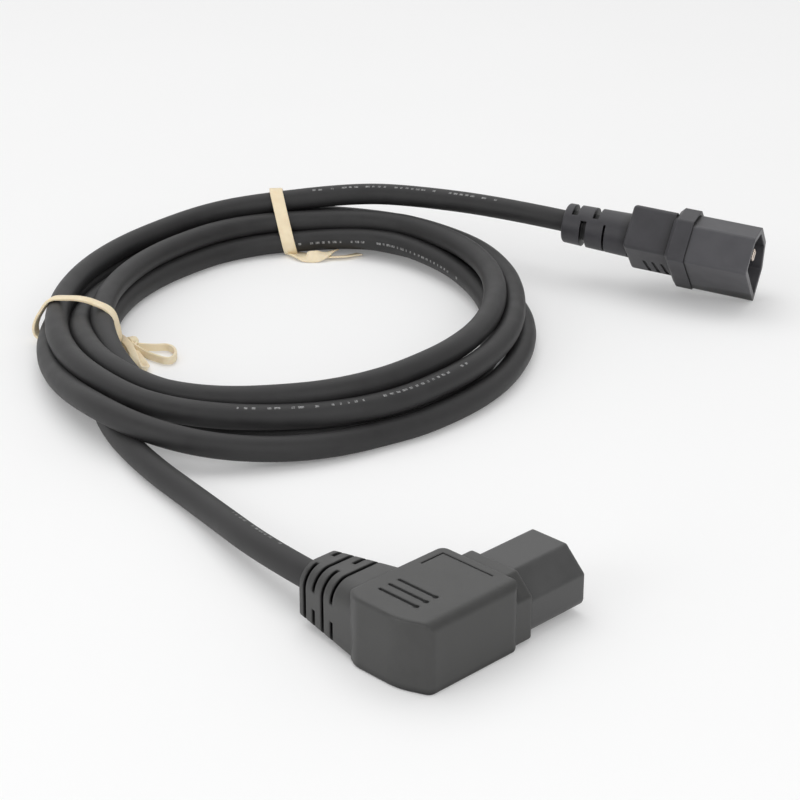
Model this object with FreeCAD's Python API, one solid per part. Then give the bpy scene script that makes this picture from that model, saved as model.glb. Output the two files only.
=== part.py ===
"""Mains extension lead: an angled connector and a straight plug on one coiled rubber cable."""
import FreeCAD
import Part

import math
import os

Vector = FreeCAD.Vector

# Cable: three insulated cores in a round rubber sheath
CABLE_DIAMETER = 7.8
CORE_DIAMETER = 2.6
CONDUCTOR_DIAMETER = 1.3
CORE_CLEARANCE = 0.15
CORE_GATHER = 4.5
SHEATH_SINK = 2.5

# Flat pins and the places of the three poles on both mating faces
PIN_THICKNESS = 2.0
PIN_HEIGHT = 4.0
POLE_SPACING = 14.0
EARTH_OFFSET = 4.0
PIN_TIP_RADIUS = 0.8
LIVE_PIN_SETBACK = 5.2
EARTH_PIN_SETBACK = 1.2

# Crimp barrels of contacts and pins
BARREL_WALL = 0.5
BARREL_LENGTH = 4.0
NECK_LENGTH = 1.5

# Angled connector: nose
NOSE_WIDTH = 24.0
NOSE_HEIGHT = 15.8
NOSE_CHAMFER = 6.3
NOSE_LENGTH = 20.4
NOSE_EDGE = 0.9
NOSE_FOOT_EDGE = 2.6
NOSE_STEM_INSET = 2.2
NOSE_STEM_LENGTH = 6.0
SLOT_CLEARANCE = 0.25
FRONT_WALL = 2.0
CONTACT_WALL = 0.5
CONTACT_PLAY = 0.1
CONTACT_LENGTH = 12.0
CONTACT_SLIT = 0.6

# Angled connector: collar, body and strain relief
COLLAR_LENGTH = 5.1
COLLAR_LIP = 0.8
COLLAR_CHAMFER = 5.2
COLLAR_EDGE = 1.0
BODY_LENGTH = 34.5
BODY_WIDTH = 26.6
BODY_HEIGHT = 19.4
BODY_CORNER = 2.5
BODY_BEND_CORNER = 2.4
BODY_END_TURN = 8.0
BODY_END_DRAW = 3.4
BODY_END_RADIUS = 17.0
BODY_SHOULDER = (2.1, 3.8)
BODY_SHOULDER_RADIUS = 6.0
BODY_EDGE = 0.9
BODY_NEAR_EDGE = 2.6
RELIEF_SETBACK = 23.2
RELIEF_LENGTH = 20.5
RELIEF_ROOT = (20.4, 18.4)
RELIEF_TIP = (13.8, 14.4)
RELIEF_OUTER_CORNER = 5.6
RELIEF_INNER_CORNER = 2.6
RELIEF_FOOT_CORNER = 1.5
RELIEF_SINK = 3.0
SLOT_WIDTH = 1.2
SLOT_PITCH = 3.8
SLOT_FIRST = 2.2
SLOT_ROWS = 4
SLOT_BRIDGE = 5.0
SLEEVE_WALL = 1.1

# Grip marks moulded into the top of the angled body and into the sides of the plug
GRIP_LENGTH = 12.7
GRIP_WIDTH = 0.9
GRIP_DEPTH = 0.5
GRIP_DOT = 1.5
GRIP_PITCH = 3.25
GRIP_COUNT = 3
GRIP_SETBACK = 20.6
GRIP_SHIFT = 2.0
FRAME_SETBACK = 2.9
FRAME_LINE = 0.5
FRAME_ARMS = (8.0, 17.2)

# Straight plug: shroud
SHROUD_GAP = 0.3
SHROUD_SIDE_WALL = 1.6
SHROUD_TOP_WALL = 2.0
SHROUD_DEPTH = 17.5
SHROUD_BASE = 8.5
SHROUD_CORNER = 1.4
SHROUD_VISIBLE = 22.0

# Straight plug: collar, body and strain relief
PLUG_COLLAR_LENGTH = 7.2
PLUG_COLLAR_LIP = 0.4
PLUG_COLLAR_RISE = 1.2
PLUG_COLLAR_BEVEL = 1.4
PLUG_BODY_LENGTH = 15.9
PLUG_BODY_WIDTH = 22.0
PLUG_BODY_HEIGHT = 16.4
PLUG_BODY_EDGE = 1.6
PLUG_RELIEF_LENGTH = 24.6
PLUG_RELIEF_ROOT = 15.5
PLUG_RELIEF_TIP = 14.1
PLUG_RELIEF_EDGE = 0.8
PLUG_SLOT_WIDTHS = (2.2, 2.2, 2.2, 0.8)
PLUG_SLOT_FIRST = 4.0
PLUG_SLOT_PITCH = 3.9
PLUG_SLOT_BRIDGE = 1.6
PLUG_GRIP_LENGTH = 9.5
PLUG_GRIP_WIDTH = 1.3
PLUG_GRIP_FORWARD = 2.4
PLUG_GRIP_TILT = -7.0
PLUG_GRIP_SHIFT = 4.5

# Coil: an oval of four tangent arcs with one rounded section
COIL_CENTRE = (-40.7, 64.1)
COIL_HALF_WIDTH = 71.5
COIL_HALF_DEPTH = 90.8
COIL_END_RADIUS = 58.0
COIL_SECTION = (22.0, 18.0)
COIL_TOP_CORNER = 7.0
COIL_FOOT_CORNER = 3.9

# Rubber bands: angle round the coil from the right, seen from above
BAND_WIDTH = 5.0
BAND_THICKNESS = 0.9
BACK_BAND_ANGLE = 97.5
LEFT_BAND_ANGLE = 183.0

# How the two ends lie: the angled connector flat, the plug on one corner of its mouth
CONNECTOR_PLACE = (33.8, -116.7)
CONNECTOR_HEADING = 44.7
PLUG_PLACE = (119.6, 94.2)
PLUG_HEADING = -22.3
PLUG_DIP = 4.4
PLUG_ROLL = -40.1

# Free stretches of the cable, from each strain relief to the coil
PLUG_ROUTE = ((-3.0, 154.4, 21.5), (-38.0, 158.4, 12.0))
CONNECTOR_ROUTE = ((-60.1, -71.8, 4.8), (-79.5, -44.1, 4.8), (-93.2, -13.6, 4.8))
BEND_SHARE = 0.45
STRAIGHT_LEAD = 0.85

# Heights that follow from the sizes above
AXIS_HEIGHT = BODY_HEIGHT / 2
RELIEF_X = -NOSE_LENGTH - COLLAR_LENGTH - RELIEF_SETBACK
BODY_FRONT = -NOSE_LENGTH - COLLAR_LENGTH
BODY_BACK = BODY_FRONT - BODY_LENGTH
RELIEF_END = BODY_WIDTH / 2 + RELIEF_LENGTH
JACKET_END = BODY_WIDTH / 2 + SHEATH_SINK
NOSE_BACK = -NOSE_LENGTH - NOSE_STEM_LENGTH
SLEEVE_RADIUS = CABLE_DIAMETER / 2 + SLEEVE_WALL
CORE_RING = (CORE_DIAMETER + CORE_CLEARANCE) / math.sqrt(3)
BARREL_RADIUS = CONDUCTOR_DIAMETER / 2 + BARREL_WALL
CAVITY_WIDTH = NOSE_WIDTH + 2 * SHROUD_GAP
CAVITY_HEIGHT = NOSE_HEIGHT + 2 * SHROUD_GAP
SHROUD_WIDTH = CAVITY_WIDTH + 2 * SHROUD_SIDE_WALL
SHROUD_HEIGHT = CAVITY_HEIGHT + 2 * SHROUD_TOP_WALL
SHROUD_CHAMFER = NOSE_CHAMFER + SHROUD_SIDE_WALL * (2 - math.sqrt(2))
SHROUD_BACK = -SHROUD_DEPTH - SHROUD_BASE
PLUG_BODY_FRONT = -SHROUD_VISIBLE - PLUG_COLLAR_LENGTH
PLUG_BODY_BACK = PLUG_BODY_FRONT - PLUG_BODY_LENGTH
PLUG_RELIEF_END = PLUG_BODY_BACK - PLUG_RELIEF_LENGTH
PLUG_JACKET_END = PLUG_BODY_BACK - SHEATH_SINK
COIL_SIDE_RADIUS = (
    COIL_HALF_WIDTH ** 2 - COIL_END_RADIUS ** 2 + (COIL_HALF_DEPTH - COIL_END_RADIUS) ** 2
) / (2 * (COIL_HALF_WIDTH - COIL_END_RADIUS))

# The three poles: name, sideways place and height from the mating face's middle
POLES = (
    ("line", -POLE_SPACING / 2, -EARTH_OFFSET / 2),
    ("neutral", POLE_SPACING / 2, -EARTH_OFFSET / 2),
    ("earth", 0.0, EARTH_OFFSET / 2),
)


def rounded_outline(corners):
    """Closed wire in the XY plane through (x, y, radius) corners joined by tangent arcs."""
    edges = []
    count = len(corners)
    starts = []
    ends = []
    for i, (x, y, radius) in enumerate(corners):
        here = Vector(x, y, 0)
        back = Vector(*corners[i - 1][:2], 0) - here
        ahead = Vector(*corners[(i + 1) % count][:2], 0) - here
        back.normalize()
        ahead.normalize()
        if radius == 0:
            starts.append(here)
            ends.append(here)
            continue
        half = back.getAngle(ahead) / 2
        reach = radius / math.tan(half)
        first = here + back * reach
        last = here + ahead * reach
        bisector = (back + ahead).normalize()
        middle = here + bisector * (radius / math.sin(half) - radius)
        edges.append(Part.Arc(first, middle, last).toShape())
        starts.append(first)
        ends.append(last)
    for i in range(count):
        a = ends[i]
        b = starts[(i + 1) % count]
        if (b - a).Length > 1e-6:
            edges.append(Part.LineSegment(a, b).toShape())
    return Part.Wire(Part.__sortEdges__(edges))


def rectangle(width, height, corner):
    """Corners of a centred rectangle with one radius."""
    w = width / 2
    h = height / 2
    return [(-w, -h, corner), (w, -h, corner), (w, h, corner), (-w, h, corner)]


def inlet_outline(width, height, chamfer, corner, foot_corner=None):
    """Six corners of the mating shape: a rectangle whose two upper corners are cut."""
    foot = corner if foot_corner is None else foot_corner
    w = width / 2
    h = height / 2
    points = ((w, h - chamfer), (w - chamfer, h), (chamfer - w, h), (-w, h - chamfer))
    return [(-w, -h, foot), (w, -h, foot)] + [(x, y, corner) for x, y in points]


def across_x(corners, x):
    """Outline drawn in the YZ plane at a place along X: first value sideways, second value up."""
    wire = rounded_outline(corners)
    wire.Placement = FreeCAD.Placement(Vector(x, 0, 0), FreeCAD.Rotation(Vector(1, 1, 1), 120))
    return wire


def along_x(corners, start, end):
    """Solid of an outline in the YZ plane between two places along X."""
    return Part.Face(across_x(corners, start)).extrude(Vector(end - start, 0, 0))


def box(low, high):
    """Box between two opposite corners."""
    size = [h - l for l, h in zip(low, high)]
    return Part.makeBox(*size, Vector(*low))


def edges_where(shape, test):
    """Edges of a shape whose every vertex passes a test."""
    return [edge for edge in shape.Edges if all(test(vertex.Point) for vertex in edge.Vertexes)]


def route_path(points, share):
    """Wire of straight runs joined by tangent arcs that each take a share of the shorter run."""
    points = [Vector(*p) for p in points]
    edges = []
    radii = []
    last = points[0]
    for before, here, after in zip(points, points[1:], points[2:]):
        back = before - here
        ahead = after - here
        reach = share * min(back.Length, ahead.Length)
        half = back.getAngle(ahead) / 2
        radius = reach * math.tan(half)
        back.normalize()
        ahead.normalize()
        bisector = (back + ahead).normalize()
        middle = here + bisector * (radius / math.sin(half) - radius)
        first = here + back * reach
        edges.append(Part.LineSegment(last, first).toShape())
        last = here + ahead * reach
        edges.append(Part.Arc(first, middle, last).toShape())
        radii.append(radius)
    edges.append(Part.LineSegment(last, points[-1]).toShape())
    return Part.Wire(edges), radii


def round_tube(path, diameter):
    """Solid of a round section swept along a wire."""
    first = path.Edges[0]
    start = first.valueAt(first.FirstParameter)
    direction = first.tangentAt(first.FirstParameter)
    ring = Part.Wire(Part.makeCircle(diameter / 2, start, direction))
    return path.makePipeShell([ring], True, False)


def core_and_conductor(points, mouth):
    """One core end: copper from the crimp to the sheath, with insulation behind the barrel's mouth along X."""
    path, _ = route_path(points, BEND_SHARE)
    copper = round_tube(path, CONDUCTOR_DIAMETER)
    front, y, z = points[0]
    stripped = box((mouth, y - CORE_DIAMETER, z - CORE_DIAMETER), (front + 1, y + CORE_DIAMETER, z + CORE_DIAMETER))
    insulation = round_tube(path, CORE_DIAMETER).cut([stripped, copper])
    return insulation, copper


def crimp_barrel(y, z, front):
    """Tube behind a contact or pin that grips the bare copper, with its front end at a place along X."""
    axis = Vector(-1, 0, 0)
    place = Vector(front, y, z)
    outside = Part.makeCylinder(BARREL_RADIUS, BARREL_LENGTH, place, axis)
    return outside.cut(Part.makeCylinder(CONDUCTOR_DIAMETER / 2, BARREL_LENGTH, place, axis))


def slot_rows(rows, sleeve, reach):
    """Slots of a strain relief along Y: each row is a slab less the sleeve and its two bridges."""
    slots = []
    for place, width, bridge in rows:
        slab = box((-reach, place - width / 2, -reach), (reach, place + width / 2, reach))
        slots.append(slab.cut(bridge).cut(sleeve))
    return slots


# Angled connector, drawn with its nose along +X, its cable along +Y and its base on Z = 0

def connector_poles():
    """Name, sideways place and height of each pole on the angled connector."""
    return [(name, y, AXIS_HEIGHT + z) for name, y, z in POLES]


def build_nose_blank():
    """Outer form of the hard insert: chamfered nose and the stem held by the moulding."""
    shape = inlet_outline(NOSE_WIDTH, NOSE_HEIGHT, NOSE_CHAMFER, NOSE_EDGE, NOSE_FOOT_EDGE)
    nose = along_x(shape, -NOSE_LENGTH, 0)
    front = edges_where(nose, lambda p: p.x > -1e-6)
    nose = nose.makeFillet(NOSE_EDGE / 2, front)
    stem_shape = inlet_outline(
        NOSE_WIDTH - 2 * NOSE_STEM_INSET, NOSE_HEIGHT - 2 * NOSE_STEM_INSET, NOSE_CHAMFER - NOSE_STEM_INSET / 2, 0
    )
    solid = nose.fuse(along_x(stem_shape, NOSE_BACK, -NOSE_LENGTH))
    solid.translate(Vector(0, 0, AXIS_HEIGHT))
    return solid


def build_nose(blank):
    """Hard insert with its three slots and the pockets and core holes behind them."""
    solid = blank
    pocket_y = PIN_THICKNESS + 2 * (CONTACT_WALL + 2 * CONTACT_PLAY)
    pocket_z = PIN_HEIGHT + 2 * (CONTACT_WALL + 2 * CONTACT_PLAY)
    slot_y = PIN_THICKNESS + 2 * SLOT_CLEARANCE
    slot_z = PIN_HEIGHT + 2 * SLOT_CLEARANCE
    for _, y, z in connector_poles():
        slot = box((-FRONT_WALL, y - slot_y / 2, z - slot_z / 2), (1, y + slot_y / 2, z + slot_z / 2))
        pocket_end = -FRONT_WALL - CONTACT_LENGTH - CONTACT_PLAY
        pocket = box((pocket_end, y - pocket_y / 2, z - pocket_z / 2), (-FRONT_WALL, y + pocket_y / 2, z + pocket_z / 2))
        way = Part.makeCylinder(CORE_DIAMETER / 2, pocket_end - NOSE_BACK + 1, Vector(pocket_end, y, z), Vector(-1, 0, 0))
        solid = solid.cut([slot, pocket, way])
    return solid.removeSplitter()


def barrel_front():
    """Place along X where the barrels of the angled connector's contacts start."""
    return -FRONT_WALL - CONTACT_LENGTH - NECK_LENGTH


def build_contact(y, z):
    """Folded socket for a flat pin, open along one side, with a solid neck and a crimp barrel."""
    inner_y = PIN_THICKNESS + 2 * CONTACT_PLAY
    inner_z = PIN_HEIGHT + 2 * CONTACT_PLAY
    outer_y = inner_y + 2 * CONTACT_WALL
    outer_z = inner_z + 2 * CONTACT_WALL
    start = -FRONT_WALL - CONTACT_LENGTH
    sleeve = box((start, y - outer_y / 2, z - outer_z / 2), (-FRONT_WALL, y + outer_y / 2, z + outer_z / 2))
    hollow = box((start + CONTACT_WALL, y - inner_y / 2, z - inner_z / 2), (0, y + inner_y / 2, z + inner_z / 2))
    slit = box((start + CONTACT_WALL, y - CONTACT_SLIT / 2, z), (0, y + CONTACT_SLIT / 2, z + outer_z))
    neck = Part.makeCylinder(BARREL_RADIUS, NECK_LENGTH, Vector(start, y, z), Vector(-1, 0, 0))
    barrel = crimp_barrel(y, z, barrel_front())
    return sleeve.cut([hollow, slit]).fuse([neck, barrel]).removeSplitter()


def build_connector_cores():
    """Core ends from the crimps round the right angle to the end of the sheath."""
    turns = {"line": 180.0, "neutral": -60.0, "earth": 60.0}
    cores = {}
    for name, y, z in connector_poles():
        angle = math.radians(turns[name])
        x_end = RELIEF_X + CORE_RING * math.cos(angle)
        z_end = AXIS_HEIGHT + CORE_RING * math.sin(angle)
        bend = NOSE_BACK - STRAIGHT_LEAD * (barrel_front() - NOSE_BACK)
        points = [(barrel_front(), y, z), (bend, y, z), (x_end, y, z_end), (x_end, JACKET_END, z_end)]
        cores[name] = core_and_conductor(points, barrel_front() - BARREL_LENGTH)
    return cores


def relief_outline(width, height):
    """Corners of the strain relief's section, with the large radius on the upper edge that faces away from the nose."""
    w = width / 2
    h = height / 2
    return [
        (-w, -h, RELIEF_FOOT_CORNER), (w, -h, RELIEF_INNER_CORNER),
        (w, h, RELIEF_INNER_CORNER), (-w, h, RELIEF_OUTER_CORNER),
    ]


def build_relief():
    """Tapered strain relief with four rows of slots, bridged in turn at top and bottom and at the sides."""
    root = rounded_outline(relief_outline(*RELIEF_ROOT))
    tip = rounded_outline(relief_outline(*RELIEF_TIP))
    upright = FreeCAD.Rotation(Vector(1, 0, 0), 90)
    root.Placement = FreeCAD.Placement(Vector(0, BODY_WIDTH / 2 - RELIEF_SINK, 0), upright)
    tip.Placement = FreeCAD.Placement(Vector(0, RELIEF_END, 0), upright)
    taper = Part.makeLoft([root, tip], True, True)
    reach = max(RELIEF_ROOT)
    sleeve = Part.makeCylinder(SLEEVE_RADIUS, RELIEF_END, Vector(0, 0, 0), Vector(0, 1, 0))
    half = SLOT_BRIDGE / 2
    over = box((-half, 0, -reach), (half, RELIEF_END, reach))
    beside = box((-reach, 0, -half), (reach, RELIEF_END, half))
    rows = [
        (RELIEF_END - SLOT_FIRST - SLOT_PITCH * i, SLOT_WIDTH, over if i % 2 == 0 else beside) for i in range(SLOT_ROWS)
    ]
    relief = taper.cut(slot_rows(rows, sleeve, reach))
    relief.translate(Vector(RELIEF_X, 0, AXIS_HEIGHT))
    return relief


def grip_groove(length, width, depth):
    """Round-ended groove along Y, its mouth on Z = 0."""
    groove = Part.Face(rounded_outline(rectangle(width, length, width * 0.49))).extrude(Vector(0, 0, -depth))
    return groove


def build_connector_overmould(inside):
    """Moulded body of the angled connector with its collar and strain relief, closed round what it holds."""
    w = BODY_WIDTH / 2
    shoulder_draw, shoulder_length = BODY_SHOULDER
    plan = [
        (BODY_BACK + BODY_END_DRAW, -w, BODY_BEND_CORNER), (BODY_FRONT, -w, BODY_CORNER),
        (BODY_FRONT, w, BODY_CORNER), (BODY_BACK + shoulder_draw, w, BODY_CORNER),
        (BODY_BACK, w - shoulder_length, BODY_SHOULDER_RADIUS), (BODY_BACK, BODY_END_TURN - w, BODY_END_RADIUS),
    ]
    body = Part.Face(rounded_outline(plan)).extrude(Vector(0, 0, BODY_HEIGHT))
    rims = edges_where(body, lambda p: p.z < 1e-6) + edges_where(body, lambda p: p.z > BODY_HEIGHT - 1e-6)
    body = body.makeFillet(BODY_EDGE, rims)
    inset = Vector(BODY_BACK, BODY_NEAR_EDGE - w, BODY_HEIGHT - BODY_NEAR_EDGE)
    edge = box((BODY_BACK, -w, inset.z), (BODY_FRONT, inset.y, BODY_HEIGHT))
    body = body.cut(edge.cut(Part.makeCylinder(BODY_NEAR_EDGE, BODY_LENGTH, inset, Vector(1, 0, 0))))
    lip = 2 * COLLAR_LIP
    collar_shape = inlet_outline(NOSE_WIDTH + lip, NOSE_HEIGHT + lip, COLLAR_CHAMFER, COLLAR_EDGE)
    collar = along_x(collar_shape, BODY_FRONT - BODY_CORNER, -NOSE_LENGTH)
    collar = collar.makeFillet(COLLAR_EDGE * 0.9, edges_where(collar, lambda p: p.x > -NOSE_LENGTH - 1e-6))
    collar.translate(Vector(0, 0, AXIS_HEIGHT))
    solid = body.fuse([collar, build_relief()])
    marks = []
    for i in range(GRIP_COUNT):
        groove = grip_groove(GRIP_LENGTH, GRIP_WIDTH, GRIP_DEPTH)
        place = Vector(BODY_FRONT - GRIP_SETBACK - GRIP_PITCH * i, GRIP_SHIFT, BODY_HEIGHT)
        groove.translate(place)
        dot_place = place - Vector(0, GRIP_LENGTH / 2, GRIP_DEPTH)
        marks += [groove, Part.makeCylinder(GRIP_DOT / 2, GRIP_DEPTH, dot_place)]
    arm_back, arm_side = FRAME_ARMS
    corner_x = BODY_FRONT - FRAME_SETBACK
    corner_y = w - FRAME_SETBACK
    top = BODY_HEIGHT
    marks.append(box((corner_x - arm_back, corner_y - FRAME_LINE, top - FRAME_LINE), (corner_x, corner_y, top + 1)))
    marks.append(box((corner_x - FRAME_LINE, corner_y - arm_side, top - FRAME_LINE), (corner_x, corner_y, top + 1)))
    bore = Part.makeCylinder(
        CABLE_DIAMETER / 2, RELIEF_END - JACKET_END + 1, Vector(RELIEF_X, JACKET_END, AXIS_HEIGHT), Vector(0, 1, 0)
    )
    return solid.cut(marks + [bore] + inside).removeSplitter()


# Straight plug, drawn with its mouth at X = 0 facing +X, its axis on X and the chamfers of its shroud up

def build_shroud():
    """Hard insert: open shroud round the pins and the base that they stand in."""
    outer = inlet_outline(SHROUD_WIDTH, SHROUD_HEIGHT, SHROUD_CHAMFER, SHROUD_CORNER)
    inner = inlet_outline(CAVITY_WIDTH, CAVITY_HEIGHT, NOSE_CHAMFER, NOSE_EDGE)
    solid = along_x(outer, SHROUD_BACK, 0).cut(along_x(inner, -SHROUD_DEPTH, 1))
    for _, y, z in POLES:
        half_y = PIN_THICKNESS / 2
        half_z = PIN_HEIGHT / 2
        solid = solid.cut(box((SHROUD_BACK - 1, y - half_y, z - half_z), (0, y + half_y, z + half_z)))
    return solid.removeSplitter()


def build_pin(name, y, z):
    """Flat pin with an eased tip, held in the base, and the crimp barrel behind it."""
    setback = EARTH_PIN_SETBACK if name == "earth" else LIVE_PIN_SETBACK
    half_y = PIN_THICKNESS / 2
    half_z = PIN_HEIGHT / 2
    blade = box((SHROUD_BACK, y - half_y, z - half_z), (-setback, y + half_y, z + half_z))
    blade = blade.makeFillet(PIN_TIP_RADIUS, edges_where(blade, lambda p: p.x > -setback - 1e-6))
    neck = Part.makeCylinder(BARREL_RADIUS, NECK_LENGTH, Vector(SHROUD_BACK, y, z), Vector(-1, 0, 0))
    return blade.fuse([neck, crimp_barrel(y, z, SHROUD_BACK - NECK_LENGTH)]).removeSplitter()


def build_plug_cores():
    """Core ends from the pins' crimps to the end of the sheath."""
    turns = {"line": 210.0, "neutral": -30.0, "earth": 90.0}
    front = SHROUD_BACK - NECK_LENGTH
    mouth = front - BARREL_LENGTH
    cores = {}
    for name, y, z in POLES:
        angle = math.radians(turns[name])
        y_end = CORE_RING * math.cos(angle)
        z_end = CORE_RING * math.sin(angle)
        bend = mouth - STRAIGHT_LEAD * BARREL_LENGTH
        gather = PLUG_JACKET_END + CORE_GATHER
        points = [(front, y, z), (bend, y, z), (gather, y_end, z_end), (PLUG_JACKET_END, y_end, z_end)]
        cores[name] = core_and_conductor(points, mouth)
    return cores


def build_plug_relief():
    """Round strain relief with slots cut in turn from above and from below."""
    cone = Part.makeCone(
        PLUG_RELIEF_ROOT / 2, PLUG_RELIEF_TIP / 2, PLUG_RELIEF_LENGTH, Vector(PLUG_BODY_BACK, 0, 0), Vector(-1, 0, 0)
    )
    cone = cone.makeFillet(PLUG_RELIEF_EDGE, edges_where(cone, lambda p: p.x < PLUG_RELIEF_END + 1e-6)[:1])
    sleeve = Part.makeCylinder(SLEEVE_RADIUS, PLUG_RELIEF_LENGTH, Vector(PLUG_BODY_BACK, 0, 0), Vector(-1, 0, 0))
    reach = PLUG_RELIEF_ROOT
    slots = []
    for i, width in enumerate(PLUG_SLOT_WIDTHS):
        place = PLUG_RELIEF_END + PLUG_SLOT_FIRST + PLUG_SLOT_PITCH * i
        side = 1 if i % 2 == 0 else -1
        low = min(side * PLUG_SLOT_BRIDGE / 2, side * reach)
        high = max(side * PLUG_SLOT_BRIDGE / 2, side * reach)
        slots.append(box((place - width / 2, -reach, low), (place + width / 2, reach, high)).cut(sleeve))
    return cone.cut(slots)


def collar_outline(inset):
    """Corners of the plug's collar, higher above the shroud than below it, drawn in by an inset."""
    grow = PLUG_COLLAR_LIP - inset
    width = SHROUD_WIDTH + 2 * grow
    height = SHROUD_HEIGHT + 2 * grow + PLUG_COLLAR_RISE
    chamfer = SHROUD_CHAMFER + grow * (2 - math.sqrt(2))
    corners = inlet_outline(width, height, chamfer, SHROUD_CORNER)
    return [(y, z + PLUG_COLLAR_RISE / 2, radius) for y, z, radius in corners]


def build_plug_overmould(inside):
    """Moulded body of the plug with its collar and strain relief, closed round what it holds."""
    body = along_x(rectangle(PLUG_BODY_WIDTH, PLUG_BODY_HEIGHT, PLUG_BODY_EDGE), PLUG_BODY_BACK, PLUG_BODY_FRONT)
    body = body.makeFillet(PLUG_BODY_EDGE * 0.9, edges_where(body, lambda p: p.x < PLUG_BODY_BACK + 1e-6))
    shoulder = PLUG_BODY_FRONT + PLUG_COLLAR_BEVEL
    collar = along_x(collar_outline(0), shoulder, -SHROUD_VISIBLE)
    slope = [across_x(collar_outline(PLUG_COLLAR_BEVEL), PLUG_BODY_FRONT), across_x(collar_outline(0), shoulder)]
    solid = body.fuse([collar, Part.makeLoft(slope, True, True), build_plug_relief()])
    marks = []
    middle = (PLUG_BODY_FRONT + PLUG_BODY_BACK) / 2 + PLUG_GRIP_FORWARD
    for i in range(GRIP_COUNT):
        for side in (1, -1):
            groove = grip_groove(PLUG_GRIP_LENGTH, PLUG_GRIP_WIDTH, GRIP_DEPTH)
            if side < 0:
                groove.rotate(Vector(0, 0, 0), Vector(1, 0, 0), 180)
            groove.rotate(Vector(0, 0, 0), Vector(0, 0, 1), PLUG_GRIP_TILT)
            groove.translate(Vector(middle + GRIP_PITCH * (i - 1), PLUG_GRIP_SHIFT, side * PLUG_BODY_HEIGHT / 2))
            marks.append(groove)
    bore = Part.makeCylinder(
        CABLE_DIAMETER / 2, PLUG_RELIEF_LENGTH + 1, Vector(PLUG_JACKET_END, 0, 0), Vector(-1, 0, 0)
    )
    return solid.cut(marks + [bore] + inside).removeSplitter()


# Coil and bands

def coil_arcs():
    """The oval's four arcs: centre, radius, start angle and swept angle, seen from above."""
    cx, cy = COIL_CENTRE
    rise = COIL_HALF_DEPTH - COIL_END_RADIUS
    shift = COIL_SIDE_RADIUS - COIL_HALF_WIDTH
    split = math.degrees(math.atan2(rise, shift))
    side_sweep = 2 * split
    end_sweep = 180 - side_sweep
    return [
        ((cx - shift, cy), COIL_SIDE_RADIUS, -split, side_sweep),
        ((cx, cy + rise), COIL_END_RADIUS, split, end_sweep),
        ((cx + shift, cy), COIL_SIDE_RADIUS, 180 - split, side_sweep),
        ((cx, cy - rise), COIL_END_RADIUS, 180 + split, end_sweep),
    ]


def coil_outline(grow, middle):
    """Corners of the bundle's section, grown by a layer and set at a distance from the arc's centre."""
    width, height = COIL_SECTION
    half = width / 2 + grow
    foot = BAND_THICKNESS - grow
    top = BAND_THICKNESS + height + grow
    return [
        (middle - half, foot, COIL_FOOT_CORNER + grow), (middle + half, foot, COIL_FOOT_CORNER + grow),
        (middle + half, top, COIL_TOP_CORNER + grow), (middle - half, top, COIL_TOP_CORNER + grow),
    ]


def turned_section(grow, arc, start, sweep):
    """Solid of the bundle's section turned about one of the oval's arcs."""
    (x, y), radius, _, _ = arc
    wire = rounded_outline(coil_outline(grow, radius))
    wire.Placement = FreeCAD.Placement(Vector(0, 0, 0), FreeCAD.Rotation(Vector(1, 0, 0), 90))
    solid = Part.Face(wire).revolve(Vector(0, 0, 0), Vector(0, 0, 1), sweep)
    solid.rotate(Vector(0, 0, 0), Vector(0, 0, 1), start)
    solid.translate(Vector(x, y, 0))
    return solid


def build_coil():
    """Closed solid of the wound turns."""
    pieces = [turned_section(0, arc, arc[2], arc[3]) for arc in coil_arcs()]
    return pieces[0].fuse(pieces[1:]).removeSplitter()


def build_band(angle):
    """Flat rubber band round the bundle at an angle of the oval."""
    arc = next(a for a in coil_arcs() if a[2] <= angle <= a[2] + a[3])
    sweep = math.degrees(BAND_WIDTH / arc[1])
    start = angle - sweep / 2
    return turned_section(BAND_THICKNESS, arc, start, sweep).cut(turned_section(0, arc, start, sweep))


# Placing and writing

def plug_placement():
    """Place of the plug: turned, dipped and rolled until one rounded corner of its mouth is on the surface."""
    turn = FreeCAD.Rotation(Vector(0, 0, 1), PLUG_HEADING)
    dip = FreeCAD.Rotation(Vector(0, 1, 0), PLUG_DIP)
    roll = FreeCAD.Rotation(Vector(1, 0, 0), PLUG_ROLL)
    rotation = turn.multiply(dip).multiply(roll)
    side = rotation.multVec(Vector(0, 1, 0)).z
    up = rotation.multVec(Vector(0, 0, 1)).z
    corner_y = SHROUD_WIDTH / 2 - SHROUD_CORNER
    corner_z = SHROUD_HEIGHT / 2 - SHROUD_CORNER
    drop = abs(side) * corner_y + abs(up) * corner_z + SHROUD_CORNER * math.hypot(side, up)
    return FreeCAD.Placement(Vector(*PLUG_PLACE, drop), rotation)


def build_connector():
    """All pieces of the angled connector in its own frame."""
    blank = build_nose_blank()
    pieces = {"connector_nose": build_nose(blank)}
    for name, y, z in connector_poles():
        pieces[f"connector_{name}_contact"] = build_contact(y, z)
    for name, (core, copper) in build_connector_cores().items():
        pieces[f"connector_{name}_core"] = core
        pieces[f"connector_{name}_conductor"] = copper
    pieces["connector_overmould"] = build_connector_overmould([blank] + list(pieces.values())[1:])
    return pieces


def build_plug():
    """All pieces of the straight plug in its own frame."""
    pieces = {"plug_shroud": build_shroud()}
    for name, y, z in POLES:
        pieces[f"plug_{name}_pin"] = build_pin(name, y, z)
    for name, (core, copper) in build_plug_cores().items():
        pieces[f"plug_{name}_core"] = core
        pieces[f"plug_{name}_conductor"] = copper
    pieces["plug_overmould"] = build_plug_overmould(list(pieces.values()))
    return pieces


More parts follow.
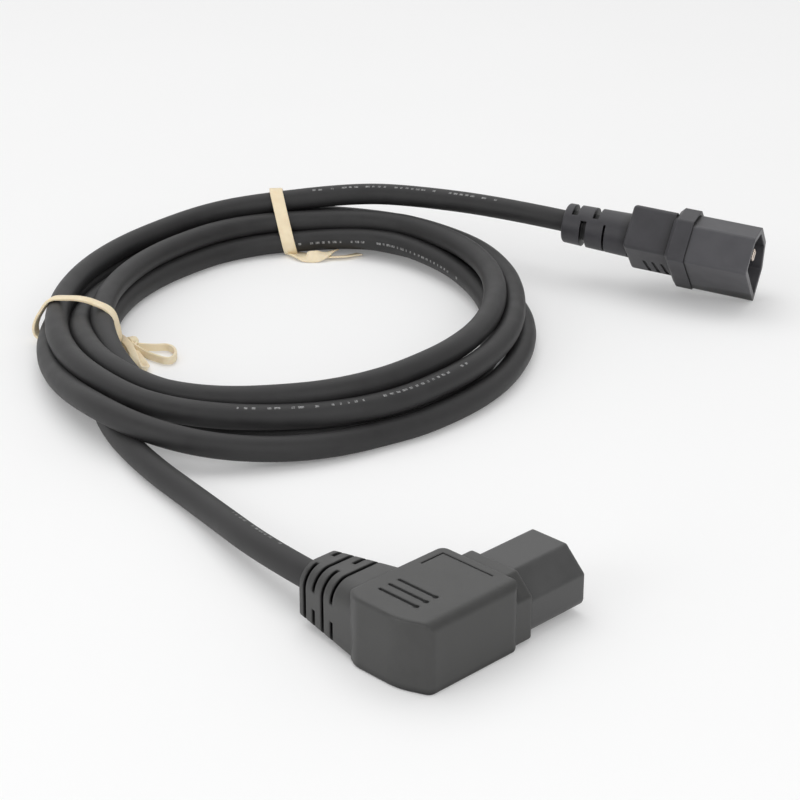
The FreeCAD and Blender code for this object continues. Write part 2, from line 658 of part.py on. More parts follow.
def build_stretch(name, points, coil):
    """Free stretch of cable along its route, ending where it enters the coil."""
    path, radii = route_path(points, BEND_SHARE)
    tube = round_tube(path, CABLE_DIAMETER)
    expected = math.pi * CABLE_DIAMETER ** 2 / 4 * path.Length
    print(name, "radii", [round(r, 1) for r in radii], "length", round(path.Length, 1),
          "volume / (section x length)", round(tube.Volume / expected, 4))
    return max(tube.cut(coil).Solids, key=lambda solid: solid.Volume)


def main():
    connector_place = FreeCAD.Placement(
        Vector(*CONNECTOR_PLACE, 0), FreeCAD.Rotation(Vector(0, 0, 1), CONNECTOR_HEADING)
    )
    plug_place = plug_placement()
    pieces = {}
    for place, group in ((connector_place, build_connector()), (plug_place, build_plug())):
        for name, shape in group.items():
            pieces[name] = shape.transformed(place.toMatrix())
    coil = build_coil()
    pieces["cable_coil"] = coil
    pieces["back_band"] = build_band(BACK_BAND_ANGLE)
    pieces["left_band"] = build_band(LEFT_BAND_ANGLE)
    plug_lead = PLUG_RELIEF_END - STRAIGHT_LEAD * (PLUG_JACKET_END - PLUG_RELIEF_END)
    plug_exit = [Vector(x, 0, 0) for x in (PLUG_JACKET_END, plug_lead)]
    connector_lead = RELIEF_END + STRAIGHT_LEAD * (RELIEF_END - JACKET_END)
    connector_exit = [Vector(RELIEF_X, y, AXIS_HEIGHT) for y in (JACKET_END, connector_lead)]
    plug_points = [tuple(plug_place.multVec(p)) for p in plug_exit]
    connector_points = [tuple(connector_place.multVec(p)) for p in connector_exit]
    pieces["cable_to_plug"] = build_stretch("cable_to_plug", plug_points + list(PLUG_ROUTE), coil)
    pieces["cable_to_connector"] = build_stretch("cable_to_connector", connector_points + list(CONNECTOR_ROUTE), coil)
    os.makedirs("parts", exist_ok=True)
    for name, shape in pieces.items():
        shape.exportStep(f"parts/{name}.step")
    whole = Part.makeCompound(list(pieces.values())).optimalBoundingBox()
    print("box x", round(whole.XMin, 1), round(whole.XMax, 1), "y", round(whole.YMin, 1), round(whole.YMax, 1),
          "z", round(whole.ZMin, 2), round(whole.ZMax, 1))
    for name, shape in pieces.items():
        print(f"{name}: {len(shape.Solids)} solid, valid {shape.isValid()}, {shape.Volume:.1f} mm3, {len(shape.Faces)} faces")


main()
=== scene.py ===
"""Looks of the angled power cord.

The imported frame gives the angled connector, the straight plug and what is inside them. This script
lays the rubber cable in its coil, ties the coil with two rubber bands, prints the cable, gives every
piece its finish and sets up the floor, the light and the camera.
"""

from __future__ import annotations

import logging
import math
from dataclasses import dataclass, field
from enum import Enum, IntEnum

import bmesh
import bpy
import numpy as np
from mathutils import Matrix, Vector

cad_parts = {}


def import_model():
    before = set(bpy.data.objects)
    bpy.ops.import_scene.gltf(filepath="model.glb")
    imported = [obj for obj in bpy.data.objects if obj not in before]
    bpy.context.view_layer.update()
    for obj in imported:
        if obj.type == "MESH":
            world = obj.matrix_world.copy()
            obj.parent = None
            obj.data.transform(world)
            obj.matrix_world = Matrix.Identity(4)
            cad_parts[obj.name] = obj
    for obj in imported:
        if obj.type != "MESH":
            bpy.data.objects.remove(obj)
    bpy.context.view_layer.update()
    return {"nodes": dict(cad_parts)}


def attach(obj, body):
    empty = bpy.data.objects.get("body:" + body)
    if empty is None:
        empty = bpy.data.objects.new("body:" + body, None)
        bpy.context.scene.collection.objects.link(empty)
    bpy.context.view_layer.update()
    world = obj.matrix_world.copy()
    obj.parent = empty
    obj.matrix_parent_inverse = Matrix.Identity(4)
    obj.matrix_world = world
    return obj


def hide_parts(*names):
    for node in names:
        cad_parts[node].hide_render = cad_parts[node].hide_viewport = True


LOG = logging.getLogger("power_cord")
MM = 0.001
BODY = "root"
UP = np.array((0.0, 0.0, 1.0))

# The part of a noise's values that is used
NOISE_SPAN = (0.3, 0.7)

# How finishes paint shade into their grooves, and paint their edges paler as wear with a painted highlight or
# darker as a painted dark reflection
GROOVE_SHADE_SAMPLES = 8
GROOVE_SHADE = 0.03
GROOVE_SHADE_SPAN = (0.5, 0.95)
EDGE_SAMPLES = 6
EDGE_SPAN = (0.92, 0.998)
EDGE_LEAST_WEAR_AND_SHEEN = 0.45

# The smallest turn that counts as a corner of a band's line
CORNER_TURN = 1e-12

# Place of a random value node's yes or no among its results
RANDOM_CHOICE = 3

Point = tuple[float, float, float]
Colour = tuple[float, float, float]
Span = tuple[float, float]
LoopRow = tuple[float, float, float, float]
Socket = bpy.types.NodeSocket
Fed = dict[str | int, object]


class Slot(Enum):
    """Material slots of the record for the cable and the bands; this script gives the pieces their finishes
    directly.
    """

    CABLE = "cable_rubber"
    BAND = "band_rubber"


class MixSocket(IntEnum):
    """Places of the sockets that a mix node has for colours."""

    SHARE = 0
    FIRST = 6
    SECOND = 7
    RESULT = 2


def put(name: str, data: bpy.types.ID) -> bpy.types.Object:
    """Puts a new object into the scene.

    Args:
        name: the object's name.
        data: its mesh, curve, lamp or camera.

    Returns:
        The object.
    """
    thing = bpy.data.objects.new(name, data)
    bpy.context.scene.collection.objects.link(thing)
    return thing


def bake(thing: bpy.types.Object) -> bpy.types.Mesh:
    """Turns an object into a mesh and takes the object out of the scene.

    Args:
        thing: the object, shaped by its curve or its nodes.

    Returns:
        The mesh.
    """
    bpy.context.view_layer.update()
    evaluated = thing.evaluated_get(bpy.context.evaluated_depsgraph_get())
    mesh = bpy.data.meshes.new_from_object(evaluated)
    bpy.data.objects.remove(thing)
    return mesh


class Graph:
    """A node tree while it is being built."""

    def __init__(self, tree: bpy.types.NodeTree) -> None:
        """Takes the tree to build in.

        Args:
            tree: the tree.
        """
        self.tree = tree

    def link(self, source: Socket, target: Socket) -> None:
        """Joins two sockets.

        Args:
            source: the socket that gives a value.
            target: the socket that takes it.
        """
        self.tree.links.new(source, target)

    def feed(self, value: object, target: Socket) -> None:
        """Gives a socket its value.

        Args:
            value: the value, or a socket that gives it.
            target: the socket that takes it.
        """
        if isinstance(value, Socket):
            self.link(value, target)
        else:
            target.default_value = value

    def add(self, kind: str, fed: Fed | None = None, **settings: object) -> bpy.types.Node:
        """Adds a node.

        Args:
            kind: the node's type name.
            fed: values of its sockets or sockets that give them, by name or place.
            settings: properties of the node.

        Returns:
            The new node.
        """
        node = self.tree.nodes.new(kind)
        for key, value in settings.items():
            setattr(node, key, value)
        for place, value in (fed or {}).items():
            self.feed(value, node.inputs[place])
        return node

    def calculate(self, operation: str, first: Socket, second: Socket | float) -> Socket:
        """Adds a calculation with two numbers.

        Args:
            operation: what is done with them.
            first: the first number.
            second: the second number, or a socket that gives it.

        Returns:
            The result.
        """
        return self.add("ShaderNodeMath", {0: first, 1: second}, operation=operation).outputs[0]

    def spread(self, value: Socket, low: float, high: Socket | float, span: Span = NOISE_SPAN,
               **settings: object) -> Socket:
        """Maps a value to a range.

        Args:
            value: the value.
            low: result at the span's start.
            high: result at the span's end, or a socket that gives it.
            span: the part of the value that is used.
            settings: properties of the node.

        Returns:
            The mapped value.
        """
        fed = {"Value": value, "From Min": span[0], "From Max": span[1], "To Min": low, "To Max": high}
        return self.add("ShaderNodeMapRange", fed, **settings).outputs["Result"]


class Shader(Graph):
    """A node material while it is being built."""

    def __init__(self, name: str) -> None:
        """Starts a material with a principled shader.

        Args:
            name: the material's name.
        """
        self.material = bpy.data.materials.new(name)
        self.material.use_nodes = True
        super().__init__(self.material.node_tree)
        self.principled = self.tree.nodes["Principled BSDF"]
        self.coordinates = self.add("ShaderNodeTexCoord")

    def surface(self, name: str, value: object) -> None:
        """Sets one property of the surface.

        Args:
            name: the property's name.
            value: its value, or a socket that gives it.
        """
        self.feed(value, self.principled.inputs[name])

    def noise(self, scale: float, detail: float, rough: float, stretch: Point = (1.0, 1.0, 1.0)) -> Socket:
        """Adds noise on the piece's own coordinates.

        Args:
            scale: features per metre.
            detail: octaves.
            rough: how strong the finer octaves are.
            stretch: scale of the coordinates along each axis.

        Returns:
            The noise's value.
        """
        place = {"Vector": self.coordinates.outputs["Object"], "Scale": stretch}
        mapped = self.add("ShaderNodeMapping", place).outputs["Vector"]
        fed = {"Vector": mapped, "Scale": scale, "Detail": detail, "Roughness": rough}
        return self.add("ShaderNodeTexNoise", fed).outputs["Fac"]

    def mix(self, share: Socket | float, first: Socket | Colour, second: Socket | Colour,
            way: str = "MIX") -> Socket:
        """Mixes two colours.

        Args:
            share: share of the second colour.
            first: colour at share 0.
            second: colour at share 1.
            way: how the second colour goes onto the first.

        Returns:
            The mixed colour.
        """
        fed: Fed = {MixSocket.SHARE: share}
        for place, colour in ((MixSocket.FIRST, first), (MixSocket.SECOND, second)):
            fed[place] = (*colour, 1.0) if isinstance(colour, tuple) else colour
        return self.add("ShaderNodeMix", fed, data_type="RGBA", blend_type=way).outputs[MixSocket.RESULT]

    def paint_groove_shade(self, colour: Socket, reach: float) -> Socket:
        """Paints shade into a colour in narrow grooves, where less light reaches.

        Args:
            colour: the colour in the open.
            reach: width of the grooves in metres.

        Returns:
            The colour with painted shade in its grooves.
        """
        fed = {"Color": colour, "Distance": reach}
        shut_in = self.add("ShaderNodeAmbientOcclusion", fed, samples=GROOVE_SHADE_SAMPLES).outputs
        shade = self.spread(shut_in["AO"], GROOVE_SHADE, 1.0, GROOVE_SHADE_SPAN)
        return self.mix(1.0, shut_in["Color"], shade, "MULTIPLY")

    def wear_and_sheen(self, colour: Socket, rounded: Socket, worn: Colour, patches: Socket) -> Socket:
        """Turns a colour to another along the edges, in patches: painted wear together with painted light, a
        highlight where the edge colour is paler and a dark reflection where it is darker.

        Args:
            colour: the colour on the faces.
            rounded: the normal with rounded edges.
            worn: the colour on a sharp edge.
            patches: a noise that says where the painted edge colour is strongest.

        Returns:
            The colour with its edges painted with wear and light.
        """
        flat = self.add("ShaderNodeNewGeometry").outputs["True Normal"]
        likeness = self.add("ShaderNodeVectorMath", {0: rounded, 1: flat}, operation="DOT_PRODUCT")
        edge = self.spread(likeness.outputs["Value"], 1.0, 0.0, EDGE_SPAN)
        share = self.calculate("MULTIPLY", edge, self.spread(patches, EDGE_LEAST_WEAR_AND_SHEEN, 1.0))
        return self.mix(share, colour, worn)

    def bump(self, height: Socket, distance: float, strength: float, under: Socket | None = None) -> Socket:
        """Adds a bump.

        Args:
            height: height from 0 to 1.
            distance: height in metres.
            strength: share of the bump that shows.
            under: a normal that the bump lies on.

        Returns:
            The bumped normal.
        """
        fed = {"Height": height, "Distance": distance, "Strength": strength}
        if under is not None:
            fed["Normal"] = under
        return self.add("ShaderNodeBump", fed).outputs["Normal"]


@dataclass(frozen=True)
class Finish:
    """A finish that pieces are dressed in."""

    name: str

    def dress(self, shader: Shader) -> None:
        """Sets up the finish.

        Args:
            shader: the new material.
        """
        raise NotImplementedError

    def build(self) -> bpy.types.Material:
        """Builds the material.

        Returns:
            The material.
        """
        shader = Shader(self.name)
        self.dress(shader)
        return shader.material


@dataclass(frozen=True)
class MouldedFinish(Finish):
    """Soft or hard moulded plastic with a fine eroded grain and slight mottling.

    The edge tint says how bright the painted edges are beside the pale colour: above 1 they show wear with a
    painted highlight, below 1 a painted dark reflection on the edge.
    """

    colour: Colour
    pale: Colour
    roughness: Span
    grain_scale: float = 3000.0
    grain_depth: float = 0.02 * MM
    mottle_scale: float = 200.0
    edge_radius: float = 0.0
    edge_wear_and_sheen_tint: float = 1.5
    groove_shade_reach: float = 0.0
    specular: float = 0.5
    grain_strength: float = 0.7

    def dress(self, shader: Shader) -> None:
        """Sets up mottling, painted edges, painted shade in the grooves, and grain.

        Args:
            shader: the new material.
        """
        mottle = shader.noise(self.mottle_scale, detail=4.0, rough=0.55)
        grain = shader.noise(self.grain_scale, detail=2.0, rough=0.5)
        colour = shader.mix(shader.spread(mottle, 0.0, 1.0), self.colour, self.pale)
        rounded = None
        if self.edge_radius:
            bevel = shader.add("ShaderNodeBevel", {"Radius": self.edge_radius}, samples=EDGE_SAMPLES)
            rounded = bevel.outputs["Normal"]
            # Painted edges: paler than the face they show wear with a painted highlight, darker they show a
            # painted dark reflection.
            colour = shader.wear_and_sheen(colour, rounded, tuple(self.edge_wear_and_sheen_tint * c for c in self.pale), mottle)
        # Painted shade: ambient occlusion darkens the colour in grooves and concave seams.
        if self.groove_shade_reach:
            colour = shader.paint_groove_shade(colour, self.groove_shade_reach)
        shader.surface("Base Color", colour)
        shader.surface("Roughness", shader.spread(mottle, *self.roughness))
        shader.surface("Normal", shader.bump(grain, self.grain_depth, self.grain_strength, rounded))
        shader.surface("Specular IOR Level", self.specular)


@dataclass(frozen=True)
class MetalFinish(Finish):
    """Drawn or plated metal with fine marks and some tarnish."""

    colour: Colour
    dull: Colour
    roughness: Span
    mark_scale: float
    mark_stretch: Point = (1.0, 1.0, 8.0)
    mark_depth: float = 0.01 * MM
    mark_strength: float = 0.4
    tarnish_scale: float = 220.0

    def dress(self, shader: Shader) -> None:
        """Sets up tarnish and marks.

        Args:
            shader: the new material.
        """
        marks = shader.noise(self.mark_scale, detail=3.0, rough=0.6, stretch=self.mark_stretch)
        tarnish = shader.noise(self.tarnish_scale, detail=3.0, rough=0.5)
        shader.surface("Base Color", shader.mix(shader.spread(tarnish, 0.0, 1.0), self.colour, self.dull))
        shader.surface("Roughness", shader.spread(marks, *self.roughness))
        shader.surface("Normal", shader.bump(marks, self.mark_depth, self.mark_strength))
        shader.surface("Metallic", 1.0)


@dataclass(frozen=True)
class BandFinish(Finish):
    """Natural rubber strip: cream, slightly see-through, powdery."""

    colour: Colour
    deep: Colour
    roughness: Span
    glow: float
    glow_reach: Point = (1.2 * MM, 0.8 * MM, 0.4 * MM)
    cloud_scale: float = 260.0
    powder_scale: float = 2600.0
    powder_depth: float = 0.04 * MM
    powder_strength: float = 0.5

    def dress(self, shader: Shader) -> None:
        """Sets up clouds, powder and the light inside.

        Args:
            shader: the new material.
        """
        cloud = shader.noise(self.cloud_scale, detail=4.0, rough=0.6)
        powder = shader.noise(self.powder_scale, detail=2.0, rough=0.5)
        shader.surface("Base Color", shader.mix(shader.spread(cloud, 0.0, 1.0), self.colour, self.deep))
        shader.surface("Roughness", shader.spread(powder, *self.roughness))
        shader.surface("Normal", shader.bump(powder, self.powder_depth, self.powder_strength))
        shader.surface("Subsurface Weight", self.glow)
        shader.surface("Subsurface Radius", self.glow_reach)


@dataclass(frozen=True)
class InkFinish(Finish):
    """Worn pale ink on the cable."""

    colour: Colour
    worn: Colour
    roughness: Span = (0.5, 0.7)
    wear_scale: float = 1500.0
    wear_span: Span = (0.4, 0.6)

    def dress(self, shader: Shader) -> None:
        """Sets up the worn ink.

        Args:
            shader: the new material.
        """
        wear_and_sheen = shader.noise(self.wear_scale, detail=3.0, rough=0.6)
        share = shader.spread(wear_and_sheen, 0.0, 1.0, self.wear_span)
        shader.surface("Base Color", shader.mix(share, self.colour, self.worn))
        shader.surface("Roughness", shader.spread(wear_and_sheen, *self.roughness))


CABLE_RUBBER = MouldedFinish(
    "cable_rubber", (0.021, 0.0205, 0.021), (0.029, 0.0285, 0.029), (0.48, 0.60),
    grain_scale=2400.0, grain_depth=0.05 * MM, mottle_scale=120.0, specular=0.35,
)
# The groove reaches paint shade into the grooves and seams of the connector and the plug; the edge tints
# paint their edges, darker on the connector's overmould as a painted dark reflection and paler elsewhere as
# wear with a painted highlight.
CONNECTOR_RUBBER = MouldedFinish(
    "connector_rubber", (0.032, 0.032, 0.031), (0.041, 0.041, 0.040), (0.36, 0.48),
    grain_scale=3200.0, grain_depth=0.05 * MM, mottle_scale=160.0,
    edge_radius=1.1 * MM, edge_wear_and_sheen_tint=0.55, groove_shade_reach=2.2 * MM,
)
CONNECTOR_INSERT = MouldedFinish(
    "connector_insert", (0.041, 0.041, 0.041), (0.052, 0.052, 0.052), (0.34, 0.46),
    grain_scale=3600.0, grain_depth=0.03 * MM, mottle_scale=140.0, edge_radius=1.2 * MM, edge_wear_and_sheen_tint=1.1,
)
PLUG_RUBBER = MouldedFinish(
    "plug_rubber", (0.028, 0.027, 0.031), (0.036, 0.035, 0.040), (0.42, 0.52),
    grain_scale=3200.0, grain_depth=0.05 * MM, mottle_scale=160.0,
    edge_radius=0.6 * MM, groove_shade_reach=4.0 * MM,
)
PLUG_INSERT = MouldedFinish(
    "plug_insert", (0.048, 0.047, 0.053), (0.059, 0.058, 0.064), (0.36, 0.48),
    grain_scale=3600.0, grain_depth=0.03 * MM, mottle_scale=140.0,
    edge_radius=0.6 * MM, groove_shade_reach=5.0 * MM,
)
LINE_INSULATION = MouldedFinish(
    "line_insulation", (0.130, 0.055, 0.022), (0.160, 0.070, 0.030), (0.35, 0.45),
)
NEUTRAL_INSULATION = MouldedFinish(
    "neutral_insulation", (0.030, 0.100, 0.350), (0.040, 0.130, 0.420), (0.35, 0.45),
)
EARTH_INSULATION = MouldedFinish(
    "earth_insulation", (0.090, 0.240, 0.040), (0.560, 0.520, 0.040), (0.35, 0.45),
    mottle_scale=90.0,
)
CONTACT_BRASS = MetalFinish("contact_brass", (0.72, 0.53, 0.24), (0.52, 0.38, 0.18), (0.22, 0.38), 900.0)
PLATED_PIN = MetalFinish("plated_pin", (0.84, 0.74, 0.66), (0.70, 0.60, 0.52), (0.20, 0.36), 900.0)
COPPER = MetalFinish("copper", (0.78, 0.40, 0.26), (0.60, 0.30, 0.20), (0.25, 0.40), 1500.0)
BAND_RUBBER = BandFinish("band_rubber", (0.86, 0.75, 0.54), (0.79, 0.66, 0.45), (0.45, 0.60), 0.15)
PRINT_INK = InkFinish("print_ink", (0.26, 0.26, 0.26), (0.08, 0.08, 0.08))
NODE_FINISHES = (
    (CONNECTOR_RUBBER, ("connector_overmould",)),
    (CONNECTOR_INSERT, ("connector_nose",)),
    (PLUG_RUBBER, ("plug_overmould",)),
    (PLUG_INSERT, ("plug_shroud",)),
    (CONTACT_BRASS, ("connector_line_contact", "connector_neutral_contact", "connector_earth_contact")),
    (PLATED_PIN, ("plug_line_pin", "plug_neutral_pin", "plug_earth_pin")),
    (LINE_INSULATION, ("connector_line_core", "plug_line_core")),
    (NEUTRAL_INSULATION, ("connector_neutral_core", "plug_neutral_core")),
    (EARTH_INSULATION, ("connector_earth_core", "plug_earth_core")),
    (COPPER, ("connector_line_conductor", "connector_neutral_conductor", "connector_earth_conductor",
              "plug_line_conductor", "plug_neutral_conductor", "plug_earth_conductor")),
)


@dataclass
class CoilOval:
    """The coil's middle line seen from above: an oval of two end arcs and two side arcs."""

    centre: tuple[float, float] = (-40.7 * MM, 64.1 * MM)
    half_width: float = 71.5 * MM
    half_depth: float = 90.8 * MM
    end_radius: float = 58.0 * MM

    def arc(self, angle: float) -> tuple[tuple[float, float], float]:
        """Finds the arc that faces an angle.

        Args:
            angle: direction in degrees, 0 to the right and 90 to the back.

        Returns:
            The arc's centre and radius.
        """
        rise = self.half_depth - self.end_radius
        spare = self.half_width - self.end_radius
        side_radius = (self.half_width**2 - self.end_radius**2 + rise**2) / (2.0 * spare)
        shift = side_radius - self.half_width
        split = math.degrees(math.atan2(rise, shift))
        x, y = self.centre
        turned = (angle + 180.0) % 360.0 - 180.0
        if abs(turned) < split:
            return (x - shift, y), side_radius
        if abs(turned) > 180.0 - split:
            return (x + shift, y), side_radius
        return (x, y + math.copysign(rise, turned)), self.end_radius

    def point(self, angle: float, outward: float, height: float) -> Vector:
        """Gives the point at an angle of the oval.

        Args:
            angle: direction in degrees.
            outward: distance out from the oval.
            height: height over the floor.

        Returns:
            The point.
        """
        (x, y), radius = self.arc(angle)
        turn = math.radians(angle)
        reach = radius + outward
        return Vector((x + reach * math.cos(turn), y + reach * math.sin(turn), height))


@dataclass
class Cable:
    """The rubber cable: one line from the plug through the coil to the connector.

    A lane row holds the angle wound so far in degrees, and in millimetres how far the cable lies out
    from the coil's oval and how high its middle is. Between the rows it drifts evenly. Line
    steps and round steps say how finely the tube is drawn along its length and round its rim.
    """

    diameter: float = 7.8 * MM
    length: float = 2.55
    step: float = 15.0
    line_steps: int = 10
    round_steps: int = 7
    plug_side: tuple[Point, ...] = (
        (75.7, 112.2, 19.8), (37.1, 128.0, 24.1), (-3.0, 154.4, 21.1), (-24.0, 160.5, 19.4),
    )
    connector_side: tuple[Point, ...] = (
        (-100.9, 26.2, 3.9), (-93.6, -13.6, 3.9), (-78.5, -43.6, 3.9),
        (-59.5, -70.8, 3.9), (-35.4, -115.6, 9.7), (-11.9, -139.7, 9.7),
    )
    top_turn: tuple[Point, ...] = (
        (90, 2.0, 18.0), (120, 5.0, 15.3), (140, 6.5, 13.2), (160, 6.5, 12.0), (180, 5.9, 11.6),
        (200, 6.2, 12.2), (213, 6.8, 12.6), (227, 7.0, 12.3), (240, 5.4, 11.8), (270, 0.9, 11.1),
        (315, 1.6, 11.6), (360, 2.8, 11.0), (385, 7.2, 11.8), (410, 8.8, 10.0), (430, 7.9, 9.8),
    )
    outer_turn: tuple[Point, ...] = (
        (450, 6.0, 10.7), (495, 7.8, 6.0), (540, 8.0, 4.5), (560, 10.0, 5.9), (573, 12.8, 8.3),
        (585, 16.6, 11.4), (592, 18.4, 11.5), (614, 17.2, 8.3), (633, 10.6, 5.0), (661, 4.4, 3.9),
        (690, 6.8, 3.9), (720, 6.6, 3.9), (745, 4.9, 3.9), (775, 3.2, 3.9),
    )
    middle_turn: tuple[Point, ...] = (
        (810, 1.8, 4.5), (840, 0.5, 4.0), (870, -0.6, 4.2), (900, -1.4, 7.0), (914, -1.5, 11.5),
        (930, -1.4, 12.1), (945, -2.4, 12.1), (960, -4.0, 12.6), (990, -5.6, 14.7), (1030, -5.7, 16.2),
        (1080, -3.6, 15.4), (1105, 0.1, 14.4), (1125, 1.3, 13.6), (1150, -0.5, 12.1),
    )
    inner_turn: tuple[Point, ...] = (
        (1170, -2.0, 11.0), (1245, -8.2, 11.4), (1260, -8.6, 11.6), (1277, -8.9, 10.4), (1290, -8.5, 7.8),
        (1305, -7.1, 4.6), (1320, -5.6, 3.9), (1350, -2.6, 3.9), (1440, -3.2, 3.9), (1470, -2.6, 6.6),
        (1485, -3.0, 7.4), (1500, -4.5, 7.1), (1530, -6.4, 4.7), (1560, -7.6, 4.0), (1590, -8.9, 4.0),
        (1620, -9.2, 4.0),
    )
    oval: CoilOval = field(default_factory=CoilOval)

    def coil_points(self) -> list[Vector]:
        """Works out the coil's control points, one each step of the turns.

        Returns:
            The points, from the plug's side of the coil to the connector's.
        """
        rows = np.array(self.top_turn + self.outer_turn + self.middle_turn + self.inner_turn, float)
        # The spline runs inside its control points, so they lie further out by this share
        bulge = 8.0 / (6.0 + 2.0 * math.cos(math.radians(self.step)))
        points = []
        for angle in np.arange(rows[0, 0] + self.step, rows[-1, 0] + 0.5 * self.step, self.step):
            outward = float(np.interp(angle, rows[:, 0], rows[:, 1])) * MM
            height = float(np.interp(angle, rows[:, 0], rows[:, 2])) * MM
            reach = (self.oval.arc(angle)[1] + outward) * (bulge - 1.0)
            points.append(self.oval.point(angle, outward + reach, height))
        return points

    def curve(self, name: str, half_thickness: float) -> bpy.types.Object:
        """Makes the cable's line as a smooth spline.

        Args:
            name: the object's name.
            half_thickness: the tube's radius, 0 for the bare line.

        Returns:
            The curve object.
        """
        points = [Vector(p) * MM for p in self.plug_side]
        points += self.coil_points()
        points += [Vector(p) * MM for p in self.connector_side]
        data = bpy.data.curves.new(name, "CURVE")
        data.dimensions = "3D"
        data.resolution_u = self.line_steps
        data.bevel_depth = half_thickness
        data.bevel_resolution = self.round_steps
        data.use_fill_caps = half_thickness > 0.0
        spline = data.splines.new("NURBS")
        spline.points.add(len(points) - 1)
        for target, point in zip(spline.points, points):
            target.co = (*point, 1.0)
        spline.order_u = 3
        spline.use_endpoint_u = True
        return put(name, data)

    def line(self) -> np.ndarray:
        """Reads the points that the cable's middle follows.

        Returns:
            One row of coordinates for each point.
        """
        mesh = bake(self.curve("cable_line", 0.0))
        points = np.array([v.co for v in mesh.vertices], float)
        bpy.data.meshes.remove(mesh)
        return points

    def build(self, material: bpy.types.Material) -> bpy.types.Object:
        """Lays the cable.

        Args:
            material: the cable's finish.

        Returns:
            The cable.
        """
        cable = self.curve("cable", 0.5 * self.diameter)
        cable.data.materials.append(material)
        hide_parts("cable_coil", "cable_to_plug", "cable_to_connector")
        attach(cable, BODY)
        return cable


@dataclass
class Ribbon:
    """A flat rubber strip swept along a line."""

    width: float
    thickness: float
    corner: float = 0.28 * MM
    corner_steps: int = 2

    def profile(self) -> list[tuple[float, float]]:
        """Draws the strip's section.

        Returns:
            Points across the width and the thickness, counter-clockwise.
        """
        points = []
        across = 0.5 * self.width - self.corner
        up = 0.5 * self.thickness - self.corner
        for index, (side, level) in enumerate(((1, 1), (-1, 1), (-1, -1), (1, -1))):
            for step in range(self.corner_steps + 1):
                turn = math.radians(90.0 * (index + step / self.corner_steps))
                out = self.corner * math.cos(turn)
                rise = self.corner * math.sin(turn)
                points.append((side * across + out, level * up + rise))
        return points

    def sweep(self, mesh: bmesh.types.BMesh, centres: np.ndarray, faces: np.ndarray, closed: bool) -> None:
        """Adds one strip to a mesh.

        Args:
            mesh: the mesh that grows.
            centres: points along the strip's middle.
            faces: the direction that the flat side faces at each point.
            closed: whether the strip's ends join.
        """
        count = len(centres)
        rings = []
        section = self.profile()
        for index in range(count):
            if closed:
                along = centres[(index + 1) % count] - centres[index - 1]
            else:
                along = centres[min(index + 1, count - 1)] - centres[max(index - 1, 0)]
            along = along / np.linalg.norm(along)
            face = faces[index] - along * float(np.dot(faces[index], along))
            face = face / np.linalg.norm(face)
            across = np.cross(face, along)
            rings.append([mesh.verts.new(centres[index] + across * u + face * v) for u, v in section])
        size = len(section)
        for index in range(count if closed else count - 1):
            ring = rings[index]
            following = rings[(index + 1) % count]
            for k in range(size):
                mesh.faces.new((ring[k], following[k], following[(k + 1) % size], ring[(k + 1) % size]))
        if not closed:
            mesh.faces.new(rings[0])
            mesh.faces.new(list(reversed(rings[-1])))


def smooth_line(points: np.ndarray, count: int) -> np.ndarray:
    """Runs a smooth line through points.

    Args:
        points: the points to pass, one row each, in any number of columns.
        count: rows of the result for each span.

    Returns:
        The rows along the line.
    """
    rows = []
    last = len(points) - 1
    for index in range(last):
        a, b, c, d = (points[min(max(index + k, 0), last)] for k in (-1, 0, 1, 2))
        for step in range(count):
            t = step / count
            rows.append(0.5 * (2.0 * b + (c - a) * t + (2.0 * a - 5.0 * b + 4.0 * c - d) * t**2
                               + (3.0 * b - a - 3.0 * c + d) * t**3))
    rows.append(points[-1])
    return np.array(rows)


def convex_hull(cloud: np.ndarray) -> np.ndarray:
    """Finds the line that would be pulled tight round points.

    Args:
        cloud: the points in a plane, one row each.

    Returns:
        The line's corners, counter-clockwise.
    """
    order = cloud[np.lexsort((cloud[:, 1], cloud[:, 0]))]
    corners: list[np.ndarray] = []
    for sweep in (order, order[::-1]):
        part: list[np.ndarray] = []
        for point in sweep:
            while len(part) > 1:
                back = part[-1] - part[-2]
                ahead = point - part[-1]
                if back[0] * ahead[1] - back[1] * ahead[0] > CORNER_TURN:
                    break
                part.pop()
            part.append(point)
        corners += part[:-1]
    return np.array(corners)


